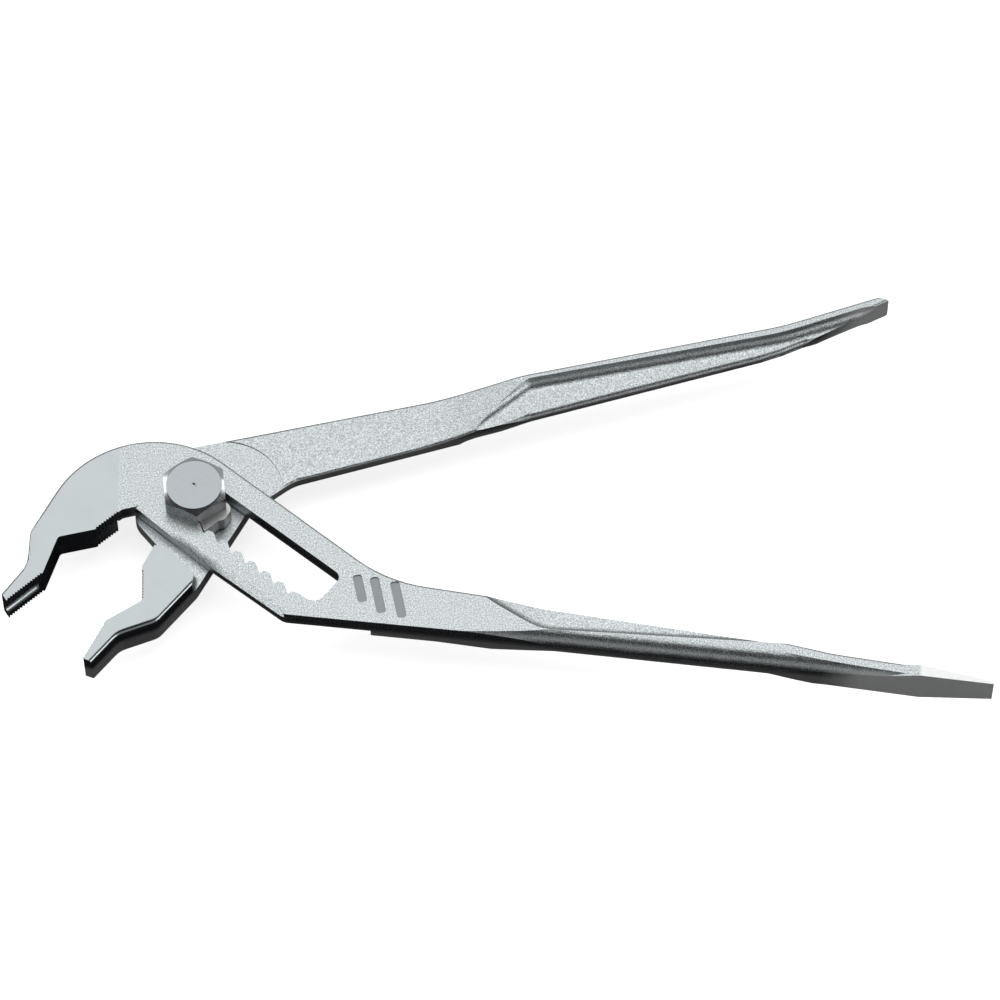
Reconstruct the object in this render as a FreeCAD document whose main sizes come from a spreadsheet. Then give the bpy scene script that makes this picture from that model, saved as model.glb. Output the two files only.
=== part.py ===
import math
import os

import FreeCAD
import Part
import Sketcher

# Multiple slip-joint pliers, 250 mm class: two forged levers that lie on each other at a lap,
# a toothed slide block that runs in the slot of the front lever, and the bolt, washer and nut
# that hold them together.
#
# Frame: +Z is the pivot axis and points out of the bolt head, +X runs along the handles, and the
# origin is on the pivot axis at the flat end of the bolt, which the pliers lie on.
# Each body is drawn about the lap plane (z = 0 in the body) and placed at lap_level.

DIMENSIONS = {
    # stack on the pivot axis
    "lap_level": 10.6,
    "jaw_thickness": 9.2,
    "lap_gap": 0.1,
    "lap_recess": 0.3,
    "recess_radius": 15.5,
    "relief_radius": 20.6,
    # joint bolt, washer and nut
    "head_width": 15.4,
    "head_height": 5.2,
    "disc_radius": 7.05,
    "head_clearance": 0.05,
    "shank_radius": 3.25,
    "pivot_play": 0.05,
    "thread_radius": 3.0,
    "thread_pitch": 1.0,
    "thread_depth": 0.6,
    "thread_runout": 1.2,
    "tail_chamfer": 0.8,
    "chamfer_angle": 30.0,
    "head_turn": 36.0,
    "nut_turn": 10.0,
    "washer_radius": 7.0,
    "washer_thickness": 1.2,
    "washer_edge": 0.2,
    "nut_width": 10.0,
    "nut_height": 4.2,
    "nut_lead": 0.4,
    # adjusting slot and its teeth
    "slot_angle": -39.0,
    "slot_left": -6.6,
    "slot_right": 44.6,
    "slot_edge": 5.45,
    "tooth_crest": 5.35,
    "tooth_depth": 1.65,
    "tooth_pitch": 4.7,
    "first_tooth": 9.3,
    "tooth_count": 7,
    "tooth_land": 1.6,
    "root_width": 0.45,
    "root_lead": 0.2,
    "slot_corner": 2.0,
    "block_height": 4.4,
    "bar_bevel_angle": 54.0,
    "bar_bevel_width": 6.0,
    # handles
    "web_thickness": 3.4,
    "grip_underside": 4.2,
    "channel_fillet": 2.7,
    "run_in_angle": 9.5,
    "run_in_radius": 30.0,
    "step_cove": 1.4,
    "edge_radius": 0.7,
    "roll_radius": 3.8,
    "web_edge_radius": 1.6,
    "inner_edge_radius": 2.2,
    "jaw_edge_radius": 1.4,
    # gripping teeth
    "grip_pitch": 0.78,
    "grip_depth": 0.45,
    "groove_width": 5.0,
    "groove_depth": 1.6,
    "groove_lead": 3.0,
    # marks on the face, and the centre drilled in the bolt's head
    "mark_width": 2.4,
    "mark_depth": 0.35,
    "mark_lean": -78.5,
    "centre_radius": 0.6,
    "centre_depth": 0.5,
}

# Cutters reach this far past the metal that they cut.
BEYOND = 10.0
RUN_IN_REACH = 36.0

doc = FreeCAD.newDocument("slip_joint_pliers")
sheet = doc.addObject("Spreadsheet::Sheet", "Dimensions")
for row, (alias, value) in enumerate(DIMENSIONS.items(), start=1):
    sheet.set(f"A{row}", alias)
    sheet.set(f"B{row}", str(value))
    sheet.setAlias(f"B{row}", alias)
doc.recompute()


def size(alias):
    return float(sheet.get(alias))


# ---------------------------------------------------------------- helpers

def new_body(name):
    body = doc.addObject("PartDesign::Body", name)
    body.Label = name
    body.setExpression("Placement.Base.z", "Dimensions.lap_level")
    return body


def origin_plane(body, role):
    return next(item for item in body.Origin.OriginFeatures if item.Role == role)


def new_sketch(body, name, role="XY_Plane", offset=0.0, bind=None):
    sketch = body.newObject("Sketcher::SketchObject", name)
    sketch.AttachmentSupport = [(origin_plane(body, role), "")]
    sketch.MapMode = "FlatFace"
    sketch.AttachmentOffset = FreeCAD.Placement(FreeCAD.Vector(0, 0, offset), FreeCAD.Rotation())
    if bind:
        sketch.setExpression("AttachmentOffset.Base.z", bind)
    return sketch


def corner_arc(before, corner, after, radius):
    """The tangent points and the middle of the arc that rounds a corner."""
    to_before = (before - corner).normalize()
    to_after = (after - corner).normalize()
    half_angle = to_before.getAngle(to_after) / 2
    reach = radius / math.tan(half_angle)
    bisector = (to_before + to_after).normalize()
    centre = corner + bisector * (radius / math.sin(half_angle))
    return corner + to_before * reach, centre - bisector * radius, corner + to_after * reach


def draw_outline(sketch, corners):
    """Draws a closed outline from corners (x, y) or (x, y, radius)."""
    points = [FreeCAD.Vector(item[0], item[1], 0) for item in corners]
    radii = [item[2] if len(item) > 2 else 0 for item in corners]
    count = len(points)
    starts, ends = [], []
    for index, (point, radius) in enumerate(zip(points, radii)):
        if radius:
            begin, middle, end = corner_arc(points[index - 1], point, points[(index + 1) % count], radius)
            sketch.addGeometry(Part.Arc(begin, middle, end), False)
            starts.append(begin)
            ends.append(end)
        else:
            starts.append(point)
            ends.append(point)
    for index in range(count):
        begin = ends[index]
        end = starts[(index + 1) % count]
        if begin.distanceToPoint(end) > 1e-6:
            sketch.addGeometry(Part.LineSegment(begin, end), False)


def draw_circle(sketch, bind):
    """Draws a circle on the pivot axis, whose radius follows an expression."""
    index = sketch.addGeometry(Part.Circle(FreeCAD.Vector(0, 0, 0), FreeCAD.Vector(0, 0, 1), 1.0), False)
    name = f"radius_{index}"
    sketch.addConstraint(Sketcher.Constraint("Coincident", index, 3, -1, 1))
    number = sketch.addConstraint(Sketcher.Constraint("Radius", index, 1.0))
    sketch.renameConstraint(number, name)
    sketch.setExpression(f"Constraints.{name}", bind)


def pad(body, sketch, name, length, midplane=False, reverse=False):
    feature = body.newObject("PartDesign::Pad", name)
    feature.Profile = sketch
    feature.Midplane = midplane
    feature.Reversed = reverse
    feature.setExpression("Length", length)
    sketch.Visibility = False
    return feature


def pocket(body, sketch, name, length=None, reverse=False, midplane=False):
    """Cuts a sketch out of the body, to a length or through all of it, and checks that it cut."""
    doc.recompute()
    volume = body.Shape.Volume
    feature = body.newObject("PartDesign::Pocket", name)
    feature.Profile = sketch
    feature.Reversed = reverse
    feature.Midplane = midplane
    if length is None:
        feature.Type = "ThroughAll"
    else:
        feature.setExpression("Length", length)
    sketch.Visibility = False
    doc.recompute()
    if body.Shape.Volume > volume - 1e-3:
        raise RuntimeError(f"{name} cuts nothing")
    return feature


def middle_of(edge):
    first, last = edge.ParameterRange
    return edge.valueAt((first + last) / 2)


def round_off(body, name, radius, *places):
    """Rounds the edge whose middle is nearest to each place, and what runs on smoothly from it."""
    doc.recompute()
    tip = body.Tip
    edges = tip.Shape.Edges
    names = []
    for place in places:
        target = FreeCAD.Vector(*place)
        gaps = [middle_of(edge).distanceToPoint(target) for edge in edges]
        names.append(f"Edge{gaps.index(min(gaps)) + 1}")
    feature = body.newObject("PartDesign::Fillet", name)
    feature.Base = (tip, names)
    feature.setExpression("Radius", radius)
    doc.recompute()
    if "Invalid" in feature.State or not feature.Shape.isValid():
        raise RuntimeError(f"{name} fails on {names}")
    return feature


def lies_at(edge, level):
    box = edge.BoundBox
    return abs(box.ZMin - level) < 1e-3 and abs(box.ZMax - level) < 1e-3


def runs_across(edge):
    return edge.BoundBox.XLength < 1e-3


def mill(body, name, corners, floor, cove, upward=True, run_in=None):
    """Cuts down to a floor with a cutter whose rim is rounded, so that the wall it leaves ends in a cove.

    run_in is the x where the floor is reached, when the cutter slopes down to it from the left."""
    cutter = doc.addObject("PartDesign::Body", f"{name}_cutter")
    sketch = new_sketch(cutter, f"{name}_outline", bind=floor)
    draw_outline(sketch, corners)
    blank = pad(cutter, sketch, f"{name}_prism", "Dimensions.jaw_thickness", reverse=not upward)
    doc.recompute()
    level = sketch.AttachmentOffset.Base.z
    if run_in is not None:
        side = 1 if upward else -1
        rise = side * RUN_IN_REACH * math.tan(math.radians(size("run_in_angle")))
        wedge = new_sketch(cutter, f"{name}_run_in", "XZ_Plane")
        draw_outline(wedge, [(run_in - RUN_IN_REACH, level + rise), (run_in, level, size("run_in_radius")),
                             (run_in + BEYOND, level), (run_in + BEYOND, level - side),
                             (run_in - RUN_IN_REACH, level - side)])
        blank = pocket(cutter, wedge, f"{name}_slope", midplane=True)
    rim = [middle_of(edge) for edge in blank.Shape.Edges
           if lies_at(edge, level) and not (run_in and runs_across(edge))]
    round_off(cutter, f"{name}_rim", cove, *rim)
    volume = body.Shape.Volume
    cut = body.newObject("PartDesign::Boolean", name)
    cut.Type = "Cut"
    cut.setObjects([cutter])
    cutter.Visibility = False
    doc.recompute()
    if body.Shape.Volume > volume - 1e-3:
        raise RuntimeError(f"{name} cuts nothing")


def along_slot(s, n):
    """From the slot's own directions, along it and square to it, to the body's x and y."""
    angle = math.radians(size("slot_angle"))
    return s * math.cos(angle) - n * math.sin(angle), s * math.sin(angle) + n * math.cos(angle)


def serrations(start, end, pitch, depth):
    """Triangles that cut a row of fine teeth into the line from start to end, into its left side."""
    run = FreeCAD.Vector(end[0] - start[0], end[1] - start[1], 0)
    count = int(run.Length / pitch)
    step = run * (1 / count)
    inward = FreeCAD.Vector(-run.y, run.x, 0).normalize() * depth
    outward = inward * -0.5
    origin = FreeCAD.Vector(start[0], start[1], 0)
    for index in range(count):
        left = origin + step * index
        right = left + step
        root = (left + right) * 0.5 + inward
        yield [(left + outward), left, root, right, (right + outward)]


def draw_serrations(sketch, start, end):
    """One closed zigzag: a straight back outside the metal and a toothed side inside it."""
    cells = list(serrations(start, end, size("grip_pitch"), size("grip_depth")))
    corners = [cells[0][0]]
    for cell in cells:
        corners += [cell[1], cell[2]]
    corners += [cells[-1][3], cells[-1][4]]
    draw_outline(sketch, [(point.x, point.y) for point in corners])


# ---------------------------------------------------------------- front lever

FRONT_OUTLINE = [
    (-48.3, -28.8),
    (-42.1, -20.2, 9.0),
    (-41.8, -10.6, 6.0),
    (-19.6, 31.4, 28.0),
    (49.6, -25.0, 38.0),
    (143.0, -41.1, 60.0),
    (162.0, -46.0, 40.0),
    (184.0, -49.8),
    (184.0, -52.9),
    (171.0, -51.6),
    (80.0, -40.9, 60.0),
    (23.3, -34.8, 4.0),
    (3.0, -18.9),
    (-15.0, -3.4, 1.1),
    (-18.6, -4.3, 2.0),
    (-25.2, -10.1, 1.0),
    (-34.6, -12.3, 1.2),
    (-38.1, -22.9, 0.4),
    (-46.9, -30.9),
]
FRONT_GRIP = ((-46.7, -30.7), (-38.2, -23.0))
FRONT_THROAT = ((-25.0, -9.9), (-19.4, -5.0))
# Each mark is (x, y, length) of a plain bar.
MARK_BARS = [(42.6, -27.4, 8.0), (47.2, -29.3, 10.6), (52.4, -30.6, 10.6)]
# The handle's channel is open towards the other handle. Its floor is level from FRONT_RUN_IN on.
FRONT_CHANNEL = [
    (52.5, -10.0), (52.5, -17.8), (88.5, -39.0, 12.0), (120.0, -41.2, 60.0), (152.0, -43.4), (152.0, -10.0),
]
FRONT_RUN_IN = 88.5
# Stations for roll_edge along the handle's outer edge: full at its middle, run out at both ends.
FRONT_TOP_ROLL = [(62.0, -39.0, 1.4), (92.0, -42.3, 0.0), (150.0, -49.1, 0.0), (186.0, -53.2, 0.9)]
FRONT_UNDERSIDE_ROLL = [(62.0, -39.0, 1.4), (92.0, -42.3, 0.0), (146.0, -48.7, 0.0), (162.0, -50.5, 1.6)]
# The front lever's step towards the pivot lies on the relief circle between these two directions.
RELIEF_FROM, RELIEF_TO = 100.0, 225.0


def at_angle(radius, degrees):
    angle = math.radians(degrees)
    return FreeCAD.Vector(radius * math.cos(angle), radius * math.sin(angle), 0)


def slot_outline():
    """The slot: a smooth upper edge, and a lower edge with one notch for each setting."""
    left, right = size("slot_left"), size("slot_right")
    edge, crest = size("slot_edge"), -size("tooth_crest")
    root = crest - size("tooth_depth")
    pitch, first, land = size("tooth_pitch"), size("first_tooth"), size("tooth_land")
    lead, corner = size("root_lead"), size("slot_corner")
    corners = [(right, edge, corner), (left, edge, corner), (left, crest, corner)]
    for index in range(int(size("tooth_count"))):
        tooth = first + pitch * index
        corners += [
            (tooth - pitch + land, crest, 0.5),
            (tooth - lead - size("root_width"), root, 0.3),
            (tooth - lead, root, 0.2),
            (tooth, crest - 0.5, 0.2),
        ]
    corners += [(tooth + land, crest, 0.5), (right, crest + 0.3, 3.0)]
    return [along_slot(*corner[:2]) + tuple(corner[2:]) for corner in corners]


def blade_section(body, name, x, near, far, low, high):
    """One cross-section of the screwdriver blade, square to X."""
    sketch = new_sketch(body, name, "YZ_Plane", x)
    draw_outline(sketch, [(near, low), (far, low), (far, high), (near, high)])
    return sketch


def make_front_lever():
    body = new_body("front_lever")
    outline = new_sketch(body, "front_outline")
    draw_outline(outline, FRONT_OUTLINE)
    pad(body, outline, "front_forging", "Dimensions.jaw_thickness", midplane=True)

    relief = new_sketch(body, "front_lap_relief")
    radius = size("relief_radius")
    top, low = 31.4 + BEYOND, -51.7 - BEYOND
    shoulder = (FreeCAD.Vector(34.0, low, 0), FreeCAD.Vector(81.7, top, 0))
    start, end = at_angle(radius, RELIEF_FROM), at_angle(radius, RELIEF_TO)
    relief.addGeometry(Part.Arc(start, at_angle(radius, 180.0), end), False)
    rim = [end, FreeCAD.Vector(end.x, low, 0), *shoulder, FreeCAD.Vector(start.x, top, 0), start]
    for first, second in zip(rim, rim[1:]):
        relief.addGeometry(Part.LineSegment(first, second), False)
    pocket(body, relief, "front_lap")

    underside = new_sketch(body, "front_underside", "XZ_Plane")
    grip = -size("grip_underside")
    half = size("jaw_thickness") / 2
    draw_outline(underside, [(30.0, -2.2), (62.0, -2.4, 30.0), (84.0, grip, 30.0),
                             (190.0, grip), (190.0, -2 * half), (30.0, -2 * half)])
    pocket(body, underside, "front_underside_cut", midplane=True)

    rounding = "Dimensions.edge_radius"
    round_off(body, "front_top_rounding", rounding, (24.4, -4.4, half))
    round_off(body, "jaw_underside_rounding", rounding, (-38.4, -4.1, -half))
    roll = size("roll_radius")
    roll_edge(body, "front_top_roll", half, roll, FRONT_TOP_ROLL)
    roll_edge(body, "front_underside_roll", grip, roll, FRONT_UNDERSIDE_ROLL)

    slot = new_sketch(body, "slot_outline")
    draw_outline(slot, slot_outline())
    pocket(body, slot, "slot", midplane=True)

    bevel(body, "bar_bevel", (-14.6, -2.9), (24.2, -33.6), size("bar_bevel_angle"), size("bar_bevel_width"))
    add_blade(body)
    cut_channels(body, "front", FRONT_CHANNEL, FRONT_RUN_IN)
    cut_gripping_face(body, "front", FRONT_GRIP, FRONT_THROAT)
    cut_marks(body)
    return body


def bevel(body, name, begin, end, slope, width):
    """Planes the top face down along a line: the cut falls away to the right of begin to end."""
    top = size("jaw_thickness") / 2
    start, finish = FreeCAD.Vector(*begin, top), FreeCAD.Vector(*end, top)
    along = (finish - start).normalize()
    inward = FreeCAD.Vector(-along.y, along.x, 0)
    rising = inward * math.cos(math.radians(slope)) + FreeCAD.Vector(0, 0, math.sin(math.radians(slope)))
    cutter = body.newObject("PartDesign::SubtractiveBox", name)
    cutter.Length = (finish - start).Length
    cutter.Width = width
    cutter.Height = width
    turn = FreeCAD.Rotation(along, rising, along.cross(rising), "ZXY")
    cutter.Placement = FreeCAD.Placement(start - rising * width, turn)
    doc.recompute()


def roll_edge(body, name, level, radius, stations):
    """Rounds a long edge with a cutter lofted through sections square to X.

    Each station is (x, y of the edge, how far the cutter still stands off the edge)."""
    sections = []
    side = 1 if level > 0 else -1
    spare = 1.5
    for index, (x, edge, off) in enumerate(stations):
        sketch = new_sketch(body, f"{name}_{index}", "YZ_Plane", x)
        y, z = edge - off, level + side * off
        corners = [(y + radius, z + side * spare), (y + radius, z), (y, z, radius), (y, z - side * radius),
                   (y - spare, z - side * radius), (y - spare, z + side * spare)]
        draw_outline(sketch, corners)
        sketch.Visibility = False
        sections.append(sketch)
    doc.recompute()
    volume = body.Shape.Volume
    loft = body.newObject("PartDesign::SubtractiveLoft", name)
    loft.Profile = sections[0]
    loft.Sections = sections[1:]
    loft.Ruled = True
    doc.recompute()
    if body.Shape.Volume > volume - 1e-3:
        raise RuntimeError(f"{name} cuts nothing")


def add_blade(body):
    """The screwdriver blade: lofted out of the handle's end, its flats square to the lap plane."""
    sections = [
        blade_section(body, "blade_root", 160.0, -50.3, -46.5, -size("grip_underside"), 0.0),
        blade_section(body, "blade_shoulder", 184.0, -52.9, -49.8, -6.1, 5.4),
        blade_section(body, "blade_tip", 202.4, -54.6, -53.9, -4.0, 4.0),
    ]
    loft = body.newObject("PartDesign::AdditiveLoft", "screwdriver_blade")
    loft.Profile = sections[0]
    loft.Sections = sections[1:]
    loft.Ruled = True
    for section in sections:
        section.Visibility = False
    doc.recompute()


def cut_channels(body, name, corners, run_in=None):
    """Thins the inner side of a handle to its web, from above and from below."""
    web, cove = "Dimensions.web_thickness / 2", "Dimensions.channel_fillet"
    mill(body, f"{name}_upper_channel", corners, web, cove, run_in=run_in)
    mill(body, f"{name}_lower_channel", corners, "-" + web, cove, upward=False, run_in=run_in)


def cut_marks(body):
    """Three plain bars, sunk a little into the face between the slot and the handle."""
    for index, (x, y, length) in enumerate(MARK_BARS):
        bar = new_sketch(body, f"mark_{index}", bind="Dimensions.jaw_thickness / 2")
        along = at_angle(length / 2, size("mark_lean"))
        across = at_angle(size("mark_width") / 2, size("mark_lean") + 90)
        centre = FreeCAD.Vector(x, y, 0)
        rounding = size("mark_width") / 3
        corners = [centre - along - across, centre + along - across,
                   centre + along + across, centre - along + across]
        draw_outline(bar, [(corner.x, corner.y, rounding) for corner in corners])
        pocket(body, bar, f"mark_{index}_cut", "Dimensions.mark_depth")


def cut_gripping_face(body, name, grip, throat):
    """The fine teeth at the jaw's tip and in its throat, and the pipe groove along the tip."""
    for label, line in (("tip", grip), ("throat", throat)):
        teeth = new_sketch(body, f"{name}_{label}_teeth")
        draw_serrations(teeth, *line)
        pocket(body, teeth, f"{name}_{label}_serrations", midplane=True)
    width, depth = size("groove_width"), size("groove_depth")
    radius = (width ** 2 / 4 + depth ** 2) / (2 * depth)
    start, end = FreeCAD.Vector(*grip[0], 0), FreeCAD.Vector(*grip[1], 0)
    run = (end - start).normalize()
    outward = FreeCAD.Vector(run.y, -run.x, 0)
    groove = body.newObject("PartDesign::SubtractiveCylinder", f"{name}_pipe_groove")
    groove.Radius = radius
    groove.Height = (end - start).Length + size("groove_lead") / 2
    centre = start - run * size("groove_lead") + outward * (radius - depth)
    groove.Placement = FreeCAD.Placement(centre, FreeCAD.Rotation(FreeCAD.Vector(0, 0, 1), run))
    doc.recompute()


# ---------------------------------------------------------------- rear lever

REAR_OUTLINE = [
    (176.9, 59.9),
    (152.0, 51.3, 60.0),
    (-15.5, 13.9, 14.0),
    (-15.5, -5.0, 6.0),
    (-9.7, -12.0),
    (-10.0, -15.0),
    (-12.9, -21.0, 1.0),
    (-12.6, -30.9, 0.8),
    (-21.6, -36.7, 1.2),
    (-27.0, -47.5, 0.4),
    (-24.7, -48.4),
    (-18.4, -40.6, 6.0),
    (-8.6, -36.8, 5.0),
    (0.8, -25.2, 6.0),
    (13.3, -2.2),
    (25.0, 6.8, 12.0),
    (152.0, 44.5, 60.0),
    (163.0, 50.3, 12.0),
    (180.0, 59.0),
]
REAR_GRIP = ((-22.0, -37.5), (-26.8, -47.1))
REAR_THROAT = ((-12.8, -22.0), (-12.6, -30.4))
REAR_CHANNEL = [
    (66.0, 14.0), (66.0, 18.6), (85.5, 35.0, 3.0), (152.0, 49.1, 60.0), (173.0, 56.6), (190.0, 60.0),
    (190.0, 14.0),
]
# Stations for roll_edge along the inner edge of the web.
REAR_WEB_EDGE = [
    (76.0, 21.94, 0.6), (86.0, 24.91, 0.0), (146.3, 42.8, 0.0), (151.9, 44.85, 0.0), (157.2, 47.3, 0.0),
    (164.0, 50.9, 0.9),
]
# The lap, which leaves the jaw's cheek standing at full thickness.
REAR_LAP = [
    (-30.0, -9.0), (-9.9, -14.7), (-6.3, -15.8, 1.6), (0.3, -22.8, 2.5), (-0.4, -29.0), (20.0, -29.0),
    (56.5, 0.0), (56.5, 45.0), (-30.0, 45.0),
]


def make_rear_lever():
    body = new_body("rear_lever")
    outline = new_sketch(body, "rear_outline")
    draw_outline(outline, REAR_OUTLINE)
    pad(body, outline, "rear_forging", "Dimensions.jaw_thickness", midplane=True)

    half = size("jaw_thickness") / 2
    gap = size("lap_gap")
    rounding = "Dimensions.edge_radius"
    round_off(body, "rear_inner_rounding", "Dimensions.inner_edge_radius", (86.7, 25.1, -half))
    round_off(body, "rear_underside_rounding", rounding, (72.1, 33.5, -half))
    round_off(body, "rear_jaw_rounding", "Dimensions.jaw_edge_radius", (-3.9, -31.0, half))
    mill(body, "rear_lap", REAR_LAP, "-Dimensions.lap_gap", "Dimensions.step_cove")

    ramp = new_sketch(body, "rear_ramp", "XZ_Plane")
    draw_outline(ramp, [(55.0, -gap), (63.0, -gap, 60.0), (84.0, half, 20.0), (92.0, half),
                        (92.0, 2 * half), (55.0, 2 * half)])
    pocket(body, ramp, "rear_ramp_cut", midplane=True)
    round_off(body, "rear_top_rounding", rounding, (118.0, 43.7, half), (47.9, 13.6, -gap))

    recess = new_sketch(body, "rear_recess", bind="-Dimensions.lap_gap - Dimensions.lap_recess")
    corner = size("recess_radius")
    draw_outline(recess, [(-30.0, 18.7), (22.6, 18.7, corner), (22.6, -12.6, corner), (-30.0, -12.6)])
    pocket(body, recess, "rear_lap_recess", "Dimensions.lap_recess + 0.5", reverse=True)

    cut_channels(body, "rear", REAR_CHANNEL)
    web = size("web_thickness") / 2
    for name, level in (("rear_web_top_roll", web), ("rear_web_underside_roll", -web)):
        roll_edge(body, name, level, size("web_edge_radius"), REAR_WEB_EDGE)
    cut_gripping_face(body, "rear", REAR_GRIP, REAR_THROAT)

    bore = new_sketch(body, "rear_bore")
    draw_circle(bore, "Dimensions.shank_radius + Dimensions.pivot_play")
    pocket(body, bore, "pivot_bore", midplane=True)
    return body


# ---------------------------------------------------------------- slide block

BLOCK_OUTLINE = [
    (9.5, -2.0, 0.5), (10.5, -0.8, 1.0), (10.1, 3.4, 2.2), (5.2, 3.4, 1.0), (4.4, 4.1, 0.8),
    (-6.1, 4.1, 2.0), (-6.1, -4.5, 2.0), (5.3, -4.5), (6.4, -5.1), (8.3, -6.4, 0.2), (8.8, -6.55, 0.2),
]


def make_slide_block():
    body = new_body("slide_block")
    outline = new_sketch(body, "block_outline", bind="Dimensions.lap_gap")
    draw_outline(outline, [along_slot(*corner[:2]) + tuple(corner[2:]) for corner in BLOCK_OUTLINE])
    pad(body, outline, "block_blank", "Dimensions.block_height")
    bore = new_sketch(body, "block_bore")
    draw_circle(bore, "Dimensions.shank_radius + 0.02")
    pocket(body, bore, "bolt_hole", midplane=True)
    return body


# ---------------------------------------------------------------- bolt, washer and nut

def revolve(body, name, profile):
    """Revolves a closed profile of (radius, height) corners about the pivot axis."""
    sketch = new_sketch(body, f"{name}_profile", "XZ_Plane")
    draw_outline(sketch, profile)
    feature = body.newObject("PartDesign::Revolution", name)
    feature.Profile = sketch
    feature.ReferenceAxis = (sketch, ["V_Axis"])
    feature.Angle = 360
    sketch.Visibility = False
    doc.recompute()


def corner_radius(width):
    """The radius over the corners of a hexagon, with a hair to spare for the blank."""
    return width / math.sqrt(3) + 0.01


def cut_flats(body, name, width, turn, low, height):
    """Cuts the six wrench flats out of a round blank."""
    sketch = new_sketch(body, f"{name}_outline", offset=low)
    draw_outline(sketch, [tuple(at_angle(width / math.sqrt(3), turn + 60 * k))[:2] for k in range(6)])
    sketch.addGeometry(Part.Circle(FreeCAD.Vector(0, 0, 0), FreeCAD.Vector(0, 0, 1), width), False)
    pocket(body, sketch, name, f"{height} mm", reverse=True)


def thread_profile(crest, top, low):
    """The corners of one groove for each turn of the thread, from the top down."""
    pitch, depth = size("thread_pitch"), size("thread_depth")
    half_width = 0.4 * pitch
    corners = []
    middle = top - pitch / 2
    while middle - pitch / 2 > low:
        corners += [(crest, middle + half_width), (crest - depth, middle), (crest, middle - half_width)]
        middle -= pitch
    return corners


def make_pivot_bolt():
    body = new_body("pivot_bolt")
    half = size("jaw_thickness") / 2
    seat = half + size("head_clearance")
    top = seat + size("head_height")
    disc = size("disc_radius")
    corner = corner_radius(size("head_width"))
    drop = (corner - disc) * math.tan(math.radians(size("chamfer_angle")))
    shank, crest = size("shank_radius"), size("thread_radius") - size("pivot_play")
    root = crest - size("thread_depth")
    shoulder = -half - size("pivot_play")
    first_thread = shoulder - size("thread_runout")
    tail, chamfer = -size("lap_level"), size("tail_chamfer")
    head = [(0, top - size("centre_depth")), (size("centre_radius"), top), (disc, top),
            (corner, top - drop), (corner, seat)]
    neck = [(shank, seat), (shank, shoulder), (root, shoulder),
            (root, first_thread + size("thread_depth")), (crest, first_thread)]
    thread = thread_profile(crest, first_thread, tail + chamfer)
    end = [(crest, tail + chamfer), (crest - chamfer, tail), (0, tail)]
    revolve(body, "bolt_blank", head + neck + thread + end)
    cut_flats(body, "wrench_flats", size("head_width"), size("head_turn"), half, size("head_height") + 1)
    return body


def make_washer():
    body = new_body("back_washer")
    top = -size("jaw_thickness") / 2 - size("pivot_play")
    low = top - size("washer_thickness")
    outer, inner = size("washer_radius"), size("thread_radius") + 0.3
    edge = size("washer_edge")
    revolve(body, "washer_ring", [(inner, low), (inner, top), (outer - edge, top), (outer, top - edge),
                                  (outer, low + edge), (outer - edge, low)])
    return body


def make_lock_nut():
    body = new_body("lock_nut")
    top = -size("jaw_thickness") / 2 - size("pivot_play") - size("washer_thickness")
    low = top - size("nut_height")
    inner = size("thread_radius")
    lead = size("nut_lead")
    corner = corner_radius(size("nut_width"))
    face = size("nut_width") / 2 - 0.2
    drop = (corner - face) * math.tan(math.radians(size("chamfer_angle")))
    profile = [(inner, low + lead), (inner, top - lead), (inner + lead, top), (face, top),
               (corner, top - drop), (corner, low + drop), (face, low), (inner + lead, low)]
    revolve(body, "nut_blank", profile)
    cut_flats(body, "nut_flats", size("nut_width"), size("nut_turn"), low - 1, size("nut_height") + 2)
    return body


# ---------------------------------------------------------------- build and write

BODIES = [
    make_front_lever(),
    make_rear_lever(),
    make_slide_block(),
    make_pivot_bolt(),
    make_washer(),
    make_lock_nut(),
]
doc.recompute()
for item in doc.Objects:
    if "Invalid" in item.State or "Error" in item.State:
        raise RuntimeError(f"{item.Name}: {item.State}")
os.makedirs("parts", exist_ok=True)
for body in BODIES:
    shape = body.Shape
    if shape.isNull() or not shape.isValid() or len(shape.Solids) != 1:
        raise RuntimeError(f"{body.Label} is not one valid solid: {len(shape.Solids)}")
    box = shape.BoundBox
    print(f"{body.Label}: volume {shape.Volume:.1f}, x {box.XMin:.1f} to {box.XMax:.1f},"
          f" y {box.YMin:.1f} to {box.YMax:.1f}, z {box.ZMin:.1f} to {box.ZMax:.1f}")
for body in BODIES:
    body.Shape.exportStep(f"parts/{body.Label}.step")
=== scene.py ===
"""Multiple slip-joint pliers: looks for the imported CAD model."""

import math

import bpy
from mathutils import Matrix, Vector

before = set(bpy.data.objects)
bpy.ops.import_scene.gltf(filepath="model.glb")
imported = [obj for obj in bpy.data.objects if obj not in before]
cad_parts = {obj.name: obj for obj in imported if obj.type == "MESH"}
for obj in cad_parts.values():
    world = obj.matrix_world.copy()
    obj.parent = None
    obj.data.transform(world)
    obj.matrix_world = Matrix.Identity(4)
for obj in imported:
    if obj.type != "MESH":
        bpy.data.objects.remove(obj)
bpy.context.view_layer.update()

MM = 0.001


# ---------------------------------------------------------------- colours and grains

# The skin's colour in its hollows and on its crests: painted shade and a painted highlight that follow
# the relief.
SKIN_HOLLOW_SHADE = (0.38, 0.41, 0.42)
SKIN_CREST_HIGHLIGHT = (0.86, 0.91, 0.925)
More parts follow.
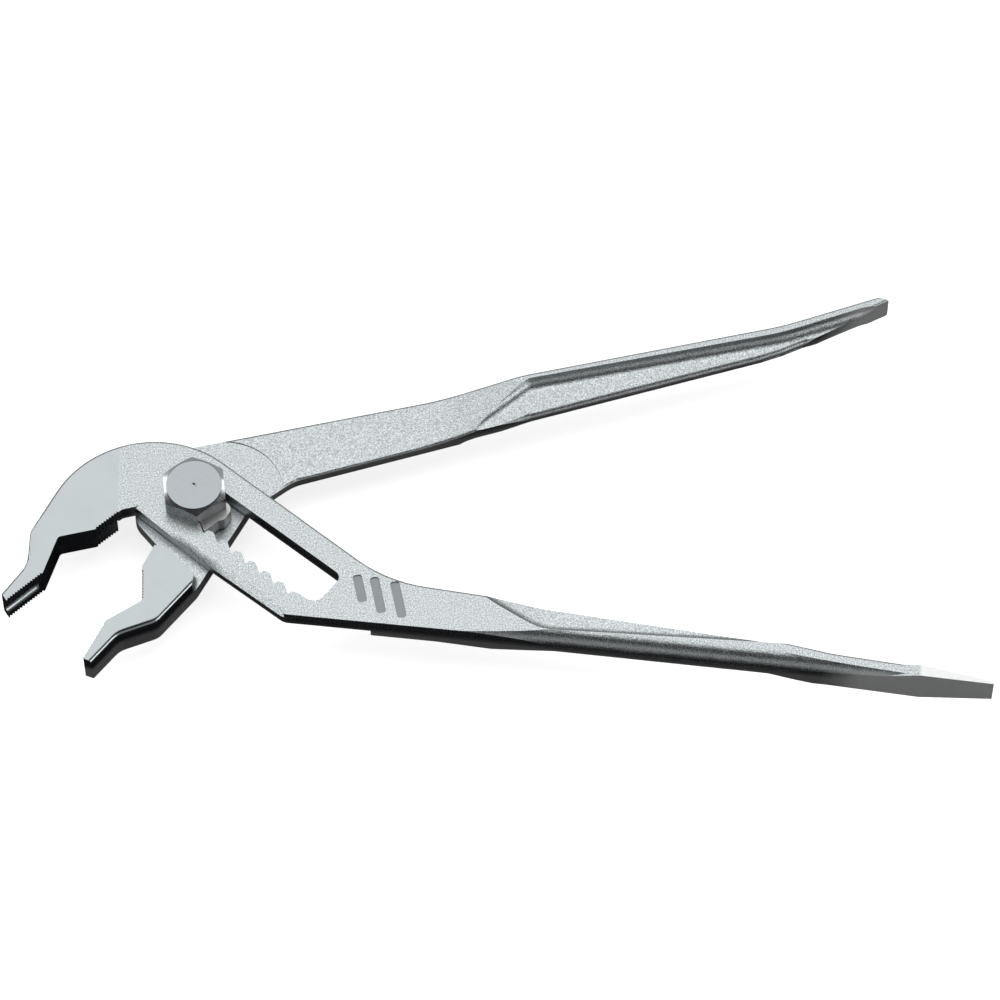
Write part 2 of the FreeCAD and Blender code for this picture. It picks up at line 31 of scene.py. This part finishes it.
# The lower half of the walls: partly the grey of a sheared seam, partly a painted reflection that makes
# the walls paler there.
SHEARED_AND_GLOW = (0.80, 0.80, 0.80)
GROUND = (0.95, 0.96, 0.96)
STAMPED = (0.42, 0.45, 0.46)
POLISHED = (0.50, 0.54, 0.555)
TURNED = (0.42, 0.45, 0.465)
BRIGHT_CHROME = (0.84, 0.87, 0.89)
PLAIN_STEEL = (0.68, 0.68, 0.68)
DULL_STEEL = (0.60, 0.60, 0.60)
DARK_PAPER = (0.90, 0.90, 0.90)
LIGHT_PAPER = (0.93, 0.93, 0.93)
NEAR_FLOOR = (0.02, 0.02, 0.022)
FAR_FLOOR = (0.60, 0.60, 0.60)
WHITE = (1.0, 1.0, 1.0)

PEEL_GRAIN = 0.38 * MM
PIT_GRAIN = 0.16 * MM
CLOUD_GRAIN = 9.0 * MM
PLATING_GRAIN = 1.6 * MM
GRIND_GRAIN = 0.16 * MM
SHEAR_GRAIN = 0.35 * MM
POLISH_WAVE = 16.0 * MM
FINE_SCRATCH = 0.14 * MM
PAPER_GRAIN = 20.0 * MM

# How deep each relief is from hollow to crest.
PEEL_DEPTH = 0.070 * MM
PIT_DEPTH = 0.032 * MM
SHEAR_DEPTH = 0.03 * MM
GRIND_DEPTH = 0.008 * MM
POLISH_WAVE_DEPTH = 0.55 * MM
POLISH_SCRATCH_DEPTH = 0.0012 * MM
PLATING_SCRATCH_DEPTH = 0.002 * MM

# Roughness: a number, or the lowest and the highest of a grained surface.
SKIN_ROUGHNESS = (0.20, 0.36)
SHEARED_ROUGHNESS = 0.52
GROUND_ROUGHNESS = (0.34, 0.46)
STAMPED_ROUGHNESS = 0.5
POLISHED_ROUGHNESS = (0.16, 0.26)
PAPER_ROUGHNESS = 0.9
# The plating's lowest and highest roughness, and its darkest tone, as shares of the given ones.
PLATING_SPREAD = (0.85, 1.2)
PLATING_SHADE = 0.92

# Ground walls aren't fully metallic, so they scatter some light.
GROUND_WALL_METAL = 0.72

# Lines are noise that is drawn out along one axis by a small scale there.
DRAWN_OUT = 0.10
POLISH_TURN = 25.0
PLATING_TURN = 30.0

# Spans that a noise or a mask is mapped from, and the two that a mask is mapped to.
NOISE_SPAN = (0.3, 0.7)
PEEL_SPAN = (0.34, 0.66)
PLATING_SPAN = (0.35, 0.65)
RISING = (0.0, 1.0)
FALLING = (1.0, 0.0)

# The upward part of the normal: a face below the first is a wall, a face above the second is level.
WALL_SPAN = (0.35, 0.75)


# ---------------------------------------------------------------- where the finishes are

# Farther out than any face of the pliers, for the open side of a box.
FAR = 1.0

# Boxes on the pliers where a finish applies: (axis, low, high) for each side that matters.
LEFT_CHEEK = [("X", -FAR, -19.5 * MM)]
RIGHT_CHEEK = [("X", -FAR, 3.0 * MM), ("Y", -FAR, -14.5 * MM), ("Z", 11.6 * MM, FAR)]
BLADE = [("X", 184.0 * MM, FAR)]
BLADE_SIDE = [("X", 164.0 * MM, FAR)]
REAR_END = [("X", 167.0 * MM, FAR)]
MARKS = [("X", 36.0 * MM, 58.0 * MM), ("Y", -40.0 * MM, -20.0 * MM), ("Z", 14.70 * MM, 15.00 * MM)]
JAW_WALLS = [("Y", -FAR, -8.0 * MM)]
HEAD_FACE = [("Z", 20.35 * MM, FAR)]
# The lower half of the walls, which gets a rougher sheared seam and a paler painted reflection.
SEAM_AND_GLOW = [("Z", 0.0, 11.0 * MM)]

# Half the width over which a finish fades at the sides of its box.
CRISP = 0.05 * MM
FINISH_FADE = 0.4 * MM
SEAM_AND_GLOW_FADE = 1.2 * MM
GROUND_FADE = 5.0 * MM
JAW_WALL_FADE = 6.0 * MM


# ---------------------------------------------------------------- stage

FLOOR_REACH = 30.0
FLOOR_GLOW = 0.78
# Between these places along Y, the mirrored floor goes from dark to pale.
MIRRORED_EDGE = (0.06, 0.11)

# The panels' name, place, width, height and power in watts. All are aimed at the same point.
PANEL_AIM = (0.08, 0.0, 0.01)
PANELS = [
    ("sky_panel", (0.08, 0.52, 1.34), 2.0, 1.3, 9.5),
    ("left_panel", (-1.05, 0.70, 0.55), 0.7, 0.7, 2.2),
    ("right_panel", (1.20, 0.70, 0.55), 0.7, 0.7, 2.0),
    ("front_left_panel", (-1.00, -0.66, 0.32), 0.8, 0.6, 2.6),
    ("front_right_panel", (1.20, -0.60, 0.36), 0.6, 0.5, 1.8),
]

# Between these heights of the line of sight, the room goes from walls to ceiling.
CEILING_EDGE = (0.45, 0.65)
ROOM_BRIGHTNESS = (0.32, 0.03)

CAMERA_PLACE = (0.0782, -0.6961, 1.2183)
CAMERA_LOOKS_DOWN = 60
CAMERA_LENS = 195.2
CAMERA_SENSOR = 36.0
CAMERA_REACH = 100.0


# ---------------------------------------------------------------- node helpers

# Where the Mix node has its two inputs and its result, for each kind of value.
MIX_SOCKETS = {"FLOAT": (2, 3, 0), "VECTOR": (4, 5, 1), "RGBA": (6, 7, 2)}


def opaque(colour):
    """A colour as a socket takes it; a socket stays as it is."""
    return colour if isinstance(colour, bpy.types.NodeSocket) else (*colour, 1.0)


def set_span(node, source, target):
    """Sets the two spans of a Map Range node, each a pair of numbers."""
    node.inputs["From Min"].default_value, node.inputs["From Max"].default_value = source
    node.inputs["To Min"].default_value, node.inputs["To Max"].default_value = target


class Graph:
    """Builds a material step by step: each method adds a node and gives back its result."""

    def __init__(self, name):
        self.material = bpy.data.materials.new(name)
        self.material.use_nodes = True
        self.tree = self.material.node_tree
        self.tree.nodes.clear()
        output = self.tree.nodes.new("ShaderNodeOutputMaterial")
        self.surface = self.tree.nodes.new("ShaderNodeBsdfPrincipled")
        self.link(self.surface.outputs["BSDF"], output.inputs["Surface"])
        coordinates = self.tree.nodes.new("ShaderNodeTexCoord")
        self.place = coordinates.outputs["Object"]
        self.normal = coordinates.outputs["Normal"]

    def link(self, source, target):
        self.tree.links.new(source, target)

    def feed(self, socket, value):
        """Links a socket to an input, or sets the input to a number or a colour."""
        if isinstance(value, bpy.types.NodeSocket):
            self.link(value, socket)
        else:
            socket.default_value = value

    def node(self, kind, **inputs):
        """Adds a node and feeds its inputs, which are given by name."""
        new = self.tree.nodes.new(kind)
        for key, value in inputs.items():
            self.feed(new.inputs[key], value)
        return new

    def math(self, operation, first, second=0.0, clamp=False):
        new = self.tree.nodes.new("ShaderNodeMath")
        new.operation = operation
        new.use_clamp = clamp
        self.feed(new.inputs[0], first)
        self.feed(new.inputs[1], second)
        return new.outputs[0]

    def noise(self, size, detail=2.0, roughness=0.5, vector=None):
        """Noise whose grains are about the given size in metres."""
        new = self.node("ShaderNodeTexNoise", Scale=1 / size, Detail=detail, Roughness=roughness,
                        Vector=vector or self.place)
        return new.outputs["Fac"]

    def span(self, value, source, target):
        """Maps a value from one span to another and clamps it."""
        new = self.node("ShaderNodeMapRange", Value=value)
        set_span(new, source, target)
        return new.outputs["Result"]

    def mix(self, kind, factor, first, second):
        new = self.tree.nodes.new("ShaderNodeMix")
        new.data_type = kind
        first_input, second_input, result = MIX_SOCKETS[kind]
        self.link(factor, new.inputs[0])
        self.feed(new.inputs[first_input], first)
        self.feed(new.inputs[second_input], second)
        return new.outputs[result]

    def blend(self, factor, first, second):
        """Mixes two numbers; each can be a socket."""
        return self.mix("FLOAT", factor, first, second)

    def blend_colour(self, factor, first, second):
        """Mixes two colours; each can be a socket."""
        return self.mix("RGBA", factor, opaque(first), opaque(second))

    def blend_vector(self, factor, first, second):
        """Mixes two vector sockets."""
        return self.mix("VECTOR", factor, first, second)

    def bump(self, height, depth, normal=None):
        """A relief of the given depth in metres, on top of another relief where one is given."""
        new = self.node("ShaderNodeBump", Height=height, Distance=depth, Strength=1.0)
        if normal is not None:
            self.link(normal, new.inputs["Normal"])
        return new.outputs["Normal"]

    def finish(self, colour, rough, normal, metal):
        """Joins the finished sockets to the surface."""
        self.link(colour, self.surface.inputs["Base Color"])
        self.link(rough, self.surface.inputs["Roughness"])
        self.link(normal, self.surface.inputs["Normal"])
        self.feed(self.surface.inputs["Metallic"], metal)


def inside(graph, box, fade=FINISH_FADE):
    """1 inside a box and 0 outside it."""
    separate = graph.node("ShaderNodeSeparateXYZ", Vector=graph.place)
    mask = None
    for axis, low, high in box:
        value = separate.outputs[axis]
        above = graph.span(value, (low - fade, low + fade), RISING)
        below = graph.span(value, (high - fade, high + fade), FALLING)
        both = graph.math("MULTIPLY", above, below)
        mask = both if mask is None else graph.math("MULTIPLY", mask, both)
    return mask


def steepness(graph):
    """0 on level faces, 1 on walls."""
    separate = graph.node("ShaderNodeSeparateXYZ", Vector=graph.normal)
    level = graph.math("ABSOLUTE", separate.outputs["Z"])
    return graph.span(level, WALL_SPAN, FALLING)


def any_of(graph, masks):
    """The strongest of some masks at each place."""
    result = masks[0]
    for mask in masks[1:]:
        result = graph.math("MAXIMUM", result, mask)
    return result


# ---------------------------------------------------------------- materials

def lines(graph, grain, scale, turn=0.0):
    """Noise drawn out into fine parallel lines, as a wheel or a die leaves them."""
    place = graph.node("ShaderNodeMapping", Vector=graph.place, Scale=scale,
                       Rotation=(0.0, 0.0, math.radians(turn)))
    return graph.noise(grain, detail=3.0, vector=place.outputs[0])


def forged_chrome(name, polished, ground, ground_walls, stamped):
    """Chrome over a blasted forging: a bright orange-peel skin, with polished cheeks and ground flats.

    polished, ground, ground_walls and stamped are lists of boxes.
    """
    graph = Graph(name)
    wall = steepness(graph)

    # the skin: its colour follows the relief, with a painted highlight on the crests and painted shade
    # in the hollows, and a sparkle from the uneven slopes
    peel = graph.noise(PEEL_GRAIN, detail=3.0, roughness=0.6)
    pits = graph.noise(PIT_GRAIN, detail=2.0, roughness=0.6)
    colour = graph.blend_colour(graph.span(peel, PEEL_SPAN, RISING), SKIN_HOLLOW_SHADE, SKIN_CREST_HIGHLIGHT)
    rough = graph.span(pits, NOISE_SPAN, SKIN_ROUGHNESS)
    normal = graph.bump(pits, PIT_DEPTH, normal=graph.bump(peel, PEEL_DEPTH))

    # the lower half of the walls: rougher, with sheared lines like a trimmed forging seam, and painted
    # an even paler grey that stands in for a glow of reflected light
    seam_and_glow = graph.math("MULTIPLY", wall, inside(graph, SEAM_AND_GLOW, fade=SEAM_AND_GLOW_FADE))
    shear_lines = lines(graph, SHEAR_GRAIN, (1.0, 1.0, DRAWN_OUT))
    rough = graph.blend(seam_and_glow, rough, SHEARED_ROUGHNESS)
    colour = graph.blend_colour(seam_and_glow, colour, SHEARED_AND_GLOW)
    normal = graph.blend_vector(seam_and_glow, normal, graph.bump(shear_lines, SHEAR_DEPTH))

    # ground flats and ground walls: fine straight lines, an even pale tone
    ground_ends = any_of(graph, [inside(graph, box, fade=GROUND_FADE) for box in ground_walls])
    flat_walls = graph.math("MULTIPLY", wall, ground_ends)
    flat = any_of(graph, [inside(graph, box) for box in ground] + [flat_walls])
    grind_lines = lines(graph, GRIND_GRAIN, (DRAWN_OUT, 1.0, 1.0))
    rough = graph.blend(flat, rough, graph.span(grind_lines, NOISE_SPAN, GROUND_ROUGHNESS))
    colour = graph.blend_colour(flat, colour, GROUND)
    metal = graph.blend(flat_walls, 1.0, GROUND_WALL_METAL)
    normal = graph.blend_vector(flat, normal, graph.bump(grind_lines, GRIND_DEPTH))

    # stamped marks: dull and dark at the bottom
    for box in stamped:
        mark = inside(graph, box, fade=CRISP)
        rough = graph.blend(mark, rough, STAMPED_ROUGHNESS)
        colour = graph.blend_colour(mark, colour, STAMPED)

    # polished cheeks: smooth, a little wavy from the wheel; walls away from the jaws keep their skin
    skin_walls = graph.math("SUBTRACT", wall, inside(graph, JAW_WALLS, fade=JAW_WALL_FADE), clamp=True)
    smooth = any_of(graph, [inside(graph, box) for box in polished])
    smooth = graph.math("SUBTRACT", smooth, skin_walls, clamp=True)
    waves = graph.noise(POLISH_WAVE, detail=1.0)
    scratches = lines(graph, FINE_SCRATCH, (1.0, DRAWN_OUT, 1.0), turn=POLISH_TURN)
    clouds = graph.noise(CLOUD_GRAIN, detail=3.0)
    rough = graph.blend(smooth, rough, graph.span(clouds, NOISE_SPAN, POLISHED_ROUGHNESS))
    colour = graph.blend_colour(smooth, colour, POLISHED)
    wavy = graph.bump(waves, POLISH_WAVE_DEPTH)
    normal = graph.blend_vector(smooth, normal, graph.bump(scratches, POLISH_SCRATCH_DEPTH, normal=wavy))

    graph.finish(colour, rough, normal, metal)
    return graph.material


def plated_steel(name, tone, roughness, wave_depth, turned=None):
    """Smooth plated steel with faint scratches, for the bolt, block, washer and nut.

    turned is a box where the metal is greyer, as turning leaves it.
    """
    graph = Graph(name)
    cloud = graph.noise(PLATING_GRAIN, detail=4.0, roughness=0.6)
    scratches = lines(graph, FINE_SCRATCH, (1.0, DRAWN_OUT, 1.0), turn=PLATING_TURN)
    waves = graph.noise(CLOUD_GRAIN, detail=1.0)
    shade = tuple(PLATING_SHADE * channel for channel in tone)
    colour = graph.blend_colour(graph.span(cloud, PLATING_SPAN, RISING), shade, tone)
    if turned:
        colour = graph.blend_colour(inside(graph, turned, fade=CRISP), colour, TURNED)
    rough = graph.span(cloud, NOISE_SPAN, [roughness * share for share in PLATING_SPREAD])
    normal = graph.bump(scratches, PLATING_SCRATCH_DEPTH, normal=graph.bump(waves, wave_depth))
    graph.finish(colour, rough, normal, 1.0)
    return graph.material


def dress(node, material):
    """Gives a CAD node its material."""
    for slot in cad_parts[node].material_slots:
        slot.material = material


dress("front_lever", forged_chrome("front_chrome", [LEFT_CHEEK], [BLADE], [BLADE_SIDE], [MARKS]))
dress("rear_lever", forged_chrome("rear_chrome", [RIGHT_CHEEK], [], [REAR_END], []))
dress("slide_block", plated_steel("block_steel", DULL_STEEL, 0.34, 0.10 * MM))
dress("pivot_bolt", plated_steel("bolt_chrome", BRIGHT_CHROME, 0.20, 0.25 * MM, turned=HEAD_FACE))
dress("back_washer", plated_steel("washer_steel", PLAIN_STEEL, 0.34, 0.05 * MM))
dress("lock_nut", plated_steel("nut_steel", PLAIN_STEEL, 0.34, 0.05 * MM))


# ---------------------------------------------------------------- floor, light and camera

def make_floor():
    """A pale floor. Mirrored in the metal it is dark in front, as if a black card lay there."""
    mesh = bpy.data.meshes.new("floor")
    corners = [(-FLOOR_REACH, -FLOOR_REACH, 0), (FLOOR_REACH, -FLOOR_REACH, 0),
               (FLOOR_REACH, FLOOR_REACH, 0), (-FLOOR_REACH, FLOOR_REACH, 0)]
    mesh.from_pydata(corners, [], [(0, 1, 2, 3)])
    floor = bpy.data.objects.new("floor", mesh)
    bpy.context.scene.collection.objects.link(floor)

    graph = Graph("floor_paper")
    rays = graph.node("ShaderNodeLightPath")
    paper = graph.blend_colour(graph.noise(PAPER_GRAIN, detail=3.0), DARK_PAPER, LIGHT_PAPER)
    depth = graph.node("ShaderNodeSeparateXYZ", Vector=graph.place).outputs["Y"]
    mirrored = graph.blend_colour(graph.span(depth, MIRRORED_EDGE, RISING), NEAR_FLOOR, FAR_FLOOR)
    colour = graph.blend_colour(rays.outputs["Is Glossy Ray"], paper, mirrored)
    glow = graph.math("MULTIPLY", rays.outputs["Is Camera Ray"], FLOOR_GLOW)
    graph.feed(graph.surface.inputs["Base Color"], colour)
    graph.feed(graph.surface.inputs["Emission Color"], opaque(WHITE))
    graph.feed(graph.surface.inputs["Emission Strength"], glow)
    graph.feed(graph.surface.inputs["Roughness"], PAPER_ROUGHNESS)
    graph.feed(graph.surface.inputs["Specular IOR Level"], 0.0)
    mesh.materials.append(graph.material)


def area_light(name, place, width, height, power):
    """A rectangular panel that faces the aim of all panels."""
    light = bpy.data.lights.new(name, "AREA")
    light.shape = "RECTANGLE"
    light.size = width
    light.size_y = height
    light.energy = power
    lamp = bpy.data.objects.new(name, light)
    lamp.location = place
    lamp.rotation_euler = (Vector(PANEL_AIM) - Vector(place)).to_track_quat("-Z", "Y").to_euler()
    bpy.context.scene.collection.objects.link(lamp)


def set_world():
    """A room whose walls are lighter than its ceiling."""
    world = bpy.data.worlds.new("studio")
    world.use_nodes = True
    tree = world.node_tree
    background = tree.nodes["Background"]
    background.inputs["Color"].default_value = opaque(WHITE)
    direction = tree.nodes.new("ShaderNodeTexCoord")
    separate = tree.nodes.new("ShaderNodeSeparateXYZ")
    rise = tree.nodes.new("ShaderNodeMapRange")
    tree.links.new(direction.outputs["Generated"], separate.inputs["Vector"])
    tree.links.new(separate.outputs["Z"], rise.inputs["Value"])
    set_span(rise, CEILING_EDGE, ROOM_BRIGHTNESS)
    tree.links.new(rise.outputs["Result"], background.inputs["Strength"])
    bpy.context.scene.world = world


def make_camera():
    """The camera stands in front of the middle of the pliers and looks down on them."""
    data = bpy.data.cameras.new("camera")
    data.lens = CAMERA_LENS
    data.sensor_width = CAMERA_SENSOR
    data.clip_end = CAMERA_REACH
    camera = bpy.data.objects.new("camera", data)
    camera.location = CAMERA_PLACE
    camera.rotation_euler = (math.radians(90 - CAMERA_LOOKS_DOWN), 0.0, 0.0)
    bpy.context.scene.collection.objects.link(camera)
    bpy.context.scene.camera = camera


make_floor()
for panel in PANELS:
    area_light(*panel)
set_world()
make_camera()
bpy.context.scene.view_settings.view_transform = "Standard"
